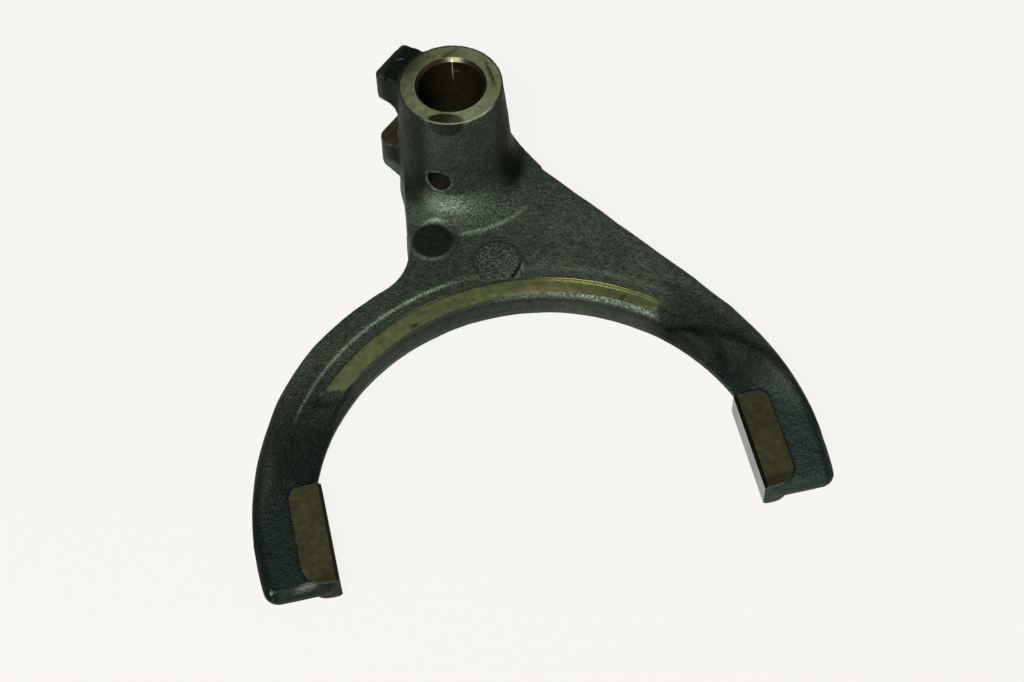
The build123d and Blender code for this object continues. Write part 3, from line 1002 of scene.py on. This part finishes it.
# Every mark has its place and size in millimetres, its turn in degrees and its share.
# Oil, and the painted shade in the patch's crease, also have their gloss, and a dark mark its gloss,
# softness, raggedness and grit.
OIL_AND_CREASE_SHADE_MARKS = (
    ((-5.2, -15.8, 48.4), (6.0, 3.6, 3.4), -18, 0.9, 0.2),
    # Painted shade along the round patch's crease
    ((9.4, -44.0, 9.5), (2.7, 0.28, 1.5), 49, 0.85, 0.5),
)
SKIN_RUBS = (
    ((-81.3, -131.6, 2.8), (0.6, 0.6, 0.6), 0, 0.5),
    ((-71.7, -132.3, 3.6), (2.8, 0.8, 1.4), 8, 0.16),
    ((-12.9, 14.3, 49.3), (1.2, 0.25, 1.5), -8, 0.14),
    ((-21.0, 8.4, 8.2), (3.0, 2.2, 2.2), 132, 0.1),
)
TOP_MARKS = (
    ((-4.3, -13.3, 49.7), (5.4, 2.3, 2), -18, 0.93, 0.16, 0.08, 0.1, 1.0),
    ((-11.2, 10.6, 49.7), (6.5, 4.5, 2), 45, 0.55, 0.4, 0.6, 0.4, 2.0),
    ((2.2, 12.2, 49.7), (2.8, 0.9, 2), 24, 0.45, 0.4, 0.5, 0.5, 1.0),
    ((12.6, 1.3, 49.7), (0.6, 5.2, 2), 4, 0.75, 0.4, 0.4, 1.1, 0.9),
    ((7.0, -11.0, 49.7), (0.7, 0.5, 2), 0, 0.6, 0.4, 0.4, 0.5, 0.8),
    ((-15.5, 0.5, 49.7), (1.6, 6.0, 2), 0, 0.35, 0.4, 0.6, 0.4, 1.6),
)
CRESCENT_MARKS = (
    ((-25.2, -55.9, 8.7), (1.3, 0.8, 2), 30, 0.8, 0.5, 0.4, 0.6, 0.8),
    ((37.9, -61.5, 8.7), (2.2, 0.6, 2), 40, 0.7, 0.5, 0.5, 0.5, 1.0),
    ((-36.0, -59.8, 8.7), (0.8, 2.0, 2), 20, 0.35, 0.5, 0.5, 0.8, 1.2),
    ((-3.0, -50.2, 8.7), (1.2, 0.5, 2), 0, 0.45, 0.5, 0.5, 0.6, 0.8),
    ((39.0, -63.0, 8.7), (16.0, 8.0, 2), -35, 0.3, 0.45, 0.6, 0.3, 3.0),
)
# Painted shade on the crescent's riser: its middle and its left end
RISER_SHADE_MARKS = (
    ((3.0, -46.8, 9.2), (21.0, 2.6, 3), 0, 0.9, 0.4, 0.25, 0.3, 3.0),
    ((-52.0, -69.0, 9.2), (9.0, 9.0, 3), 0, 0.85, 0.4, 0.3, 0.3, 3.0),
)
PAD_MARKS = (
    ((67.9, -107.5, 5.0), (1.1, 0.8, 2), 20, 0.5, 0.4, 0.5, 0.7, 0.9),
    ((66.5, -131.0, 5.0), (4.5, 1.6, 2), 10, 0.6, 0.4, 0.6, 0.5, 1.2),
    ((-66.0, -131.5, 5.0), (4.5, 1.2, 2), 10, 0.5, 0.4, 0.6, 0.5, 1.2),
)
TOP_RUBS = (((5.0, -12.4, 49.7), (8.0, 4.0, 2), 24, 0.16),)
# Painted highlights along the riser's top edge
RISER_HIGHLIGHTS = (
    ((33.0, -55.0, 9.55), (17.0, 12.0, 0.22), -25, 0.9),
    ((-22.0, -50.0, 9.5), (9.0, 6.0, 0.3), 25, 0.6),
)
BORE_RUBS = (
    ((2.35, 9.72, 45.4), (0.15, 0.9, 3.6), 0, 0.8),
    ((3.4, 9.4, 44.6), (1.1, 0.9, 0.22), 0, 0.25),
)


# Materials


def new_material(name):
    """An empty material with its shader and its object coordinates."""
    material = bpy.data.materials.new(name)
    material.use_nodes = True
    tree = material.node_tree
    shader = tree.nodes["Principled BSDF"]
    place = tree.nodes.new("ShaderNodeTexCoord").outputs["Object"]
    return material, tree, shader, place


def join(tree, shader, colour, roughness, height, distance, strength):
    """Joins a look to the shader."""
    bump = put(tree, "ShaderNodeBump", {"Height": height, "Distance": distance, "Strength": strength})
    feed(tree, shader, {"Base Color": colour, "Roughness": roughness, "Normal": bump.outputs[0]})


def spot(tree, vector, place, size, turn=0.0, soft=0.25, rag=0.3, grit=1.0):
    """A mark's mask; its place and size are in millimetres and its turn about Z in degrees."""
    inputs = {
        "Vector": vector,
        "Place": [v * MM for v in place],
        "Size": [v * MM for v in size],
        "Turn": (0, 0, radians(turn)),
        "Softness": soft,
        "Raggedness": rag,
        "Grit": grit * MM,
    }
    return use_group(tree, "spot", inputs)[0]


def forged_material(settings):
    material, tree, shader, place = new_material("forged_skin")
    colour, rough = use_group(tree, "forged_tone", {
        "Vector": place,
        "Skin": rgba(settings.colour),
        "Arm tint": rgba(settings.arm_tint),
        "Web tint": rgba(settings.web_tint),
        **{name: attribute(tree, name.lower()) for name in SKIN_MARKS},
    })
    # An oil dab on the boss, and painted shade along the patch's crease
    for spot_place, size, turn, share, gloss in OIL_AND_CREASE_SHADE_MARKS:
        mask = spot(tree, place, spot_place, size, turn, 0.12, 0.15)
        colour = blend(tree, product(tree, mask, share), colour, OIL_AND_SHADE)
        rough = blend_value(tree, mask, rough, gloss)
    for spot_place, size, turn, share in SKIN_RUBS:
        mask = spot(tree, place, spot_place, size, turn, 0.6, 1.8, 0.45)
        colour = blend(tree, product(tree, mask, share), colour, SCRAPED)
    # The painted light also scales the skin's specular level, for painted glints and painted shade
    specular = product(tree, attribute(tree, "painted_light"), 0.15)
    inputs = {"Metallic": 0.15, "Specular IOR Level": specular, "Specular Tint": SKIN_GLEAM}
    feed(tree, shader, inputs)
    grain = use_group(tree, "grain", {"Vector": place, "Size": SKIN_GRAIN})[0]
    join(tree, shader, colour, rough, grain, SKIN_GRAIN, 1.0)
    return material


def blend_value(tree, share, first, second):
    return put(tree, "ShaderNodeMix", {0: share, 2: first, 3: second}, data_type="FLOAT").outputs[0]


def machined_material(name, metal, stain, stained, gloss, metallic, marks=(), rubs_and_highlights=(), rim=0.0):
    """A machined face; dark marks darken it, as dirt and as painted shade on the riser, and rubs brighten
    it, as bare metal and as painted highlights on the riser.
    """
    material, tree, shader, place = new_material(name)
    colour, rough = use_group(tree, "machined_tone", {
        "Vector": place,
        "Metal": rgba(metal),
        "Stain": rgba(stain),
        "Stained share": stained,
        "Gloss": gloss,
    })
    # Dark marks: dirt, and painted shade on the riser
    for spot_place, size, turn, share, mark_gloss, soft, rag, grit in marks:
        mask = spot(tree, place, spot_place, size, turn, soft, rag, grit)
        shared = product(tree, mask, share)
        colour = blend(tree, shared, colour, DIRT_AND_SHADE)
        rough = blend_value(tree, shared, rough, mark_gloss)
    # Rubs of bare metal, and painted highlights along the riser
    for spot_place, size, turn, share in rubs_and_highlights:
        mask = spot(tree, place, spot_place, size, turn, 0.5, 0.4, 0.8)
        colour = blend(tree, product(tree, mask, share), colour, BARE_AND_HIGHLIGHT)
    shader.inputs["Metallic"].default_value = metallic
    # The top face's rim gets a painted highlight at the front and painted shade at the sides
    if rim:
        colour = painted_rim_light(tree, place, colour, rim)
    grain = use_group(tree, "grain", {"Vector": place, "Size": CUT_GRAIN})[0]
    join(tree, shader, colour, rough, grain, CUT_GRAIN_HEIGHT, 0.1 if gloss < FINE_CUT_GLOSS else 0.35)
    return material


def painted_rim_light(tree, place, colour, rim):
    """A thin painted highlight along a turned face's rim where it looks forwards, and painted shade along
    the rim at the sides.
    """
    inputs = {0: place, 1: (1, 1, 0)}
    flat = put(tree, "ShaderNodeVectorMath", inputs, operation="MULTIPLY").outputs[0]
    out = put(tree, "ShaderNodeVectorMath", {0: flat}, operation="LENGTH").outputs["Value"]
    edge = span(tree, out, (rim - 0.7) * MM, (rim - 0.5) * MM)
    front = put(tree, "ShaderNodeSeparateXYZ", {0: flat}).outputs[1]
    front = span(tree, front, -10.5 * MM, -13.5 * MM)
    lit = blend(tree, front, RIM_SHADE, RIM_HIGHLIGHT)
    return blend(tree, product(tree, edge, 0.9), colour, lit)


def machined_materials(settings):
    """Every machined face's material, by its name."""
    looks = (
        # Name, metal, stain, stained share, gloss, metallic, dark marks, rubs and the radius of the rim's
        # painted highlight
        ("top_face", settings.face_colour, OLIVE, 0.4, 0.42, 0.95, TOP_MARKS, TOP_RUBS, BOSS_TOP_RADIUS),
        ("crescent_face", settings.crescent_colour, OLIVE, 0.5, 0.42, 0.95, CRESCENT_MARKS),
        # The riser's colour is darker than the crescent's: painted shade on the upright wall
        ("crescent_riser", (0.062, 0.065, 0.032), OLIVE, 0.2, 0.35, 0.95, RISER_SHADE_MARKS, RISER_HIGHLIGHTS),
        ("pad_face", settings.pad_colour, (0.055, 0.052, 0.022), 0.6, 0.40, 0.95, PAD_MARKS),
        # The pads' inner sides are brighter than their faces: painted reflection
        ("pad_side", settings.side_colour, (0.3, 0.3, 0.26), 0.4, 0.30, 0.9),
        # The pads' chamfers are nearly black: painted shade
        ("pad_chamfer", (0.012, 0.013, 0.009), (0.006, 0.006, 0.004), 0.6, 0.4, 0.95),
        ("slot_face", settings.bore_colour, (0.05, 0.045, 0.02), 0.6, 0.45, 0.7),
        ("bore_face", settings.bore_colour, (0.05, 0.04, 0.015), 0.6, 0.30, 0.85, (), BORE_RUBS),
        # The cross hole is darker than the bore: painted shade inside the hole
        ("hole_face", (0.02, 0.02, 0.012), (0.01, 0.01, 0.006), 0.6, 0.4, 0.7),
    )
    return {look[0]: machined_material(*look) for look in looks}


# Operators


class FORK_OT_forging(bpy.types.Operator):
    """Builds the as-forged body and machines its faces"""
    bl_idname = "fork.forging"
    bl_label = "Forged body"

    def execute(self, context):
        settings = context.scene.fork_forging
        machining = context.scene.fork_machining
        for make_group in (grain_group, spot_group, forged_tone_group, machined_tone_group):
            make_group()
        skin = forged_material(settings)
        steel = machined_materials(machining)
        piece = raw_forging(settings, machining)
        lay_skin(piece, settings, skin)
        pad_faces = ("pad_face", "pad_side", "pad_chamfer")
        for shape, name, faces in (
            (face_cutter(BOSS_TOP, BOSS_TOP + CUTTER_REACH), "face_mill", ("top_face",)),
            (face_cutter(BOSS_BOTTOM - CUTTER_REACH, BOSS_BOTTOM), "foot_mill", ("top_face",)),
            (crescent_cutter(), "ring_mill", ("crescent_face", "crescent_riser")),
            (pad_cutter(1), "right_pad_mill", pad_faces),
            (pad_cutter(-1), "left_pad_mill", pad_faces),
            (slot_cutter(), "slot_mill", ("slot_face",)),
            (bore_cutter(), "bore_tool", ("bore_face",)),
            (pin_cutter(), "drill", ("hole_face",)),
        ):
            cut(piece, shape, name, [steel[face] for face in faces])
        mesh = piece.data
        set_vertices(mesh, clip_to_box(vertex_array(mesh)))
        mark_skin(mesh)
        mesh.set_sharp_from_angle(angle=radians(SMOOTH_ANGLE))
        for polygon in mesh.polygons:
            polygon.use_smooth = True
        if len(mesh.polygons) < FEWEST_FACES:
            raise RuntimeError("the forging was lost while it was cut")
        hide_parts(FORGING)
        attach(piece, "root")
        return {"FINISHED"}


class FORK_OT_stage(bpy.types.Operator):
    """Lays the floor and sets the light and the camera"""
    bl_idname = "fork.stage"
    bl_label = "Stage"

    def execute(self, context):
        stage = context.scene.fork_stage
        lay_floor(stage)
        room_light(stage)
        soft_light("key", (-0.35, -0.65, 0.83), 0.45, stage.key_power)
        soft_light("fill", (0.95, -0.55, 0.45), 0.6, stage.fill_power)
        set_camera(stage)
        context.scene.view_settings.view_transform = "Standard"
        return {"FINISHED"}


def lay_floor(stage):
    """A plain floor that is lit as evenly as a light table."""
    level = CAD_BOX[0][2]
    half = 6.0
    mesh = bpy.data.meshes.new("floor")
    corners = [(-half, -half), (half, -half), (half, half), (-half, half)]
    mesh.from_pydata([(x, y, level) for x, y in corners], [], [(0, 1, 2, 3)])
    floor = new_object("floor", mesh)
    material = bpy.data.materials.new("floor")
    material.use_nodes = True
    feed(material.node_tree, material.node_tree.nodes["Principled BSDF"], {
        "Base Color": (0.02, 0.02, 0.02, 1),
        "Roughness": 1.0,
        "Specular IOR Level": 0.0,
        "Emission Color": rgba(stage.floor_colour),
        "Emission Strength": 1.0,
    })
    mesh.materials.append(material)


def room_light(stage):
    """A dim even room, brighter overhead."""
    world = bpy.data.worlds.new("studio")
    world.use_nodes = True
    tree = world.node_tree
    way = tree.nodes.new("ShaderNodeTexCoord").outputs["Generated"]
    split = put(tree, "ShaderNodeSeparateXYZ", {0: way})
    overhead = span(tree, split.outputs[2], 0.05, 0.9, 0.35, 1.0)
    sideways = span(tree, split.outputs[0], -0.6, 0.6, 0.55, 1.3)
    strength = product(tree, overhead, sideways, stage.room_brightness)
    feed(tree, tree.nodes["Background"], {"Color": (0.96, 1.0, 0.98, 1), "Strength": strength})
    bpy.context.scene.world = world


def soft_light(name, place, size, power):
    """A square soft light that faces the part."""
    data = bpy.data.lights.new(name, "AREA")
    data.size = size
    data.energy = power
    lamp = new_object(name, data)
    target = Vector((0, -0.06, 0.01))
    aim = (target - Vector(place)).to_track_quat("-Z", "Y")
    lamp.matrix_world = Matrix.Translation(place) @ aim.to_matrix().to_4x4()


def set_camera(stage):
    data = bpy.data.cameras.new("camera")
    data.lens = stage.lens
    data.sensor_width = 36.0
    data.clip_start = 0.01
    data.clip_end = 50.0
    camera = new_object("camera", data)
    turn = Matrix(CAMERA_AXES).transposed().to_4x4()
    camera.matrix_world = Matrix.Translation(Vector(stage.eye)) @ turn
    bpy.context.scene.camera = camera


class FORK_PT_panel(bpy.types.Panel):
    """Shows the buttons that build the forged body and the stage"""
    bl_label = "Shift fork"
    bl_idname = "FORK_PT_panel"
    bl_space_type = "VIEW_3D"
    bl_region_type = "UI"
    bl_category = "Shift fork"

    def draw(self, context):
        self.layout.operator(FORK_OT_forging.bl_idname)
        self.layout.operator(FORK_OT_stage.bl_idname)


CLASSES = (
    FORK_PG_forging,
    FORK_PG_machining,
    FORK_PG_stage,
    FORK_OT_forging,
    FORK_OT_stage,
    FORK_PT_panel,
)


def register():
    for cls in CLASSES:
        bpy.utils.register_class(cls)
    bpy.types.Scene.fork_forging = PointerProperty(type=FORK_PG_forging)
    bpy.types.Scene.fork_machining = PointerProperty(type=FORK_PG_machining)
    bpy.types.Scene.fork_stage = PointerProperty(type=FORK_PG_stage)


def unregister():
    del bpy.types.Scene.fork_stage
    del bpy.types.Scene.fork_machining
    del bpy.types.Scene.fork_forging
    for cls in reversed(CLASSES):
        bpy.utils.unregister_class(cls)


def main():
    register()
    bpy.ops.fork.forging()
    bpy.ops.fork.stage()


if __name__ == "__main__":
    main()
